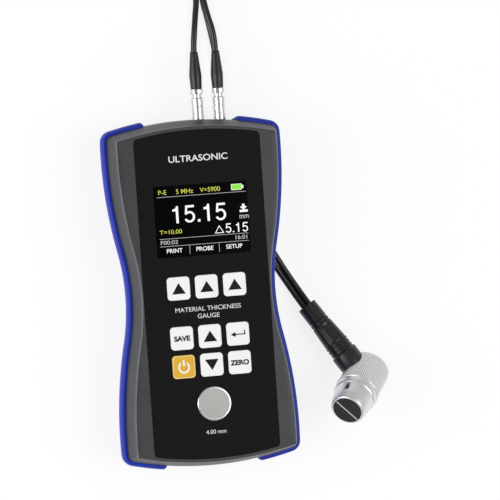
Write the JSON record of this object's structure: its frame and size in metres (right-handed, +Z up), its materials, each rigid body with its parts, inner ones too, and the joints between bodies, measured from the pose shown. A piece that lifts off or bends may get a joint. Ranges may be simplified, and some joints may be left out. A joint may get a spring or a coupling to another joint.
{
  "type": "ultrasonic thickness gauge",
  "caption": "Hand-held ultrasonic thickness gauge with a waisted case, side bumpers, display, key pad and test disc, and an angled probe on coiled coaxial cables.",
  "frame": {"origin": "on the table, under the middle of the case", "axes": "+X across the case to the right as the display is read, +Y along the case towards the cable end, +Z up out of the display"},
  "size_m": [0.1312, 0.2916, 0.0352],
  "materials": {
    "case_grey": "fine grain",
    "back_grey": "fine grain",
    "bumper_blue": "satin",
    "film_black": "fine matt",
    "window_dark": "gloss",
    "steel": "satin",
    "board_green": "satin",
    "key_yellow": "satin",
    "key_white": "satin",
    "cell_wrap": "gloss",
    "nickel": "satin",
    "rubber_black": "satin",
    "probe_metal": "satin",
    "delay_black": "satin",
    "cork_tan": "matt"
  },
  "bodies": {
    "gauge": {"front_shell": "case_grey", "rear_shell": "back_grey", "bumper_left": "bumper_blue", "bumper_right": "bumper_blue", "front_overlay": "film_black", "display_window": "window_dark", "display_module": "steel", "main_board": "board_green", "board_screws": "steel", "snap_domes": "steel", "test_disc": "steel", "case_screws": "steel", "battery_door": "back_grey", "door_screws": "steel", "battery_cells": "cell_wrap", "battery_contacts": "steel", "socket_left": "nickel", "socket_right": "nickel", "socket_nuts": "steel", "plug_core_left": "nickel", "plug_core_right": "nickel", "plug_collet_left": "nickel", "plug_collet_right": "nickel", "plug_relief_left": "rubber_black", "plug_relief_right": "rubber_black", "probe_housing": "probe_metal", "probe_nose_ring": "probe_metal", "probe_delay_transmit": "delay_black", "probe_delay_receive": "delay_black", "probe_barrier": "cork_tan", "probe_crystals": "cork_tan", "probe_collar": "rubber_black", "probe_relief": "rubber_black", "tail_left": "rubber_black", "tail_right": "rubber_black", "cable_coil": "rubber_black", "coil_tie": "rubber_black", "return_left": "rubber_black", "return_right": "rubber_black"},
    "key_soft_left": {"key_soft_left": "key_white"},
    "key_soft_middle": {"key_soft_middle": "key_white"},
    "key_soft_right": {"key_soft_right": "key_white"},
    "key_save": {"key_save": "key_white"},
    "key_up": {"key_up": "key_white"},
    "key_enter": {"key_enter": "key_white"},
    "key_power": {"key_power": "key_yellow"},
    "key_down": {"key_down": "key_white"},
    "key_zero": {"key_zero": "key_white"},
    "plug_sleeve_left": {"plug_sleeve_left": "nickel"},
    "plug_sleeve_right": {"plug_sleeve_right": "nickel"}
  },
  "joints": [
    {"name": "key_soft_left_press", "type": "slide", "parent": "gauge", "child": "key_soft_left", "axis": [0, 0, -1], "range_m": [0, 0.0004], "stiffness_N_per_m": 1500},
    {"name": "key_soft_middle_press", "type": "slide", "parent": "gauge", "child": "key_soft_middle", "axis": [0, 0, -1], "range_m": [0, 0.0004], "stiffness_N_per_m": 1500},
    {"name": "key_soft_right_press", "type": "slide", "parent": "gauge", "child": "key_soft_right", "axis": [0, 0, -1], "range_m": [0, 0.0004], "stiffness_N_per_m": 1500},
    {"name": "key_save_press", "type": "slide", "parent": "gauge", "child": "key_save", "axis": [0, 0, -1], "range_m": [0, 0.0004], "stiffness_N_per_m": 1500},
    {"name": "key_up_press", "type": "slide", "parent": "gauge", "child": "key_up", "axis": [0, 0, -1], "range_m": [0, 0.0004], "stiffness_N_per_m": 1500},
    {"name": "key_enter_press", "type": "slide", "parent": "gauge", "child": "key_enter", "axis": [0, 0, -1], "range_m": [0, 0.0004], "stiffness_N_per_m": 1500},
    {"name": "key_power_press", "type": "slide", "parent": "gauge", "child": "key_power", "axis": [0, 0, -1], "range_m": [0, 0.0004], "stiffness_N_per_m": 1500},
    {"name": "key_down_press", "type": "slide", "parent": "gauge", "child": "key_down", "axis": [0, 0, -1], "range_m": [0, 0.0004], "stiffness_N_per_m": 1500},
    {"name": "key_zero_press", "type": "slide", "parent": "gauge", "child": "key_zero", "axis": [0, 0, -1], "range_m": [0, 0.0004], "stiffness_N_per_m": 1500},
    {"name": "plug_sleeve_left_release", "type": "slide", "parent": "gauge", "child": "plug_sleeve_left", "axis": [0, 1, 0], "range_m": [0, 0.001], "stiffness_N_per_m": 2000},
    {"name": "plug_sleeve_right_release", "type": "slide", "parent": "gauge", "child": "plug_sleeve_right", "axis": [0, 1, 0], "range_m": [0, 0.001], "stiffness_N_per_m": 2000}
  ]
}
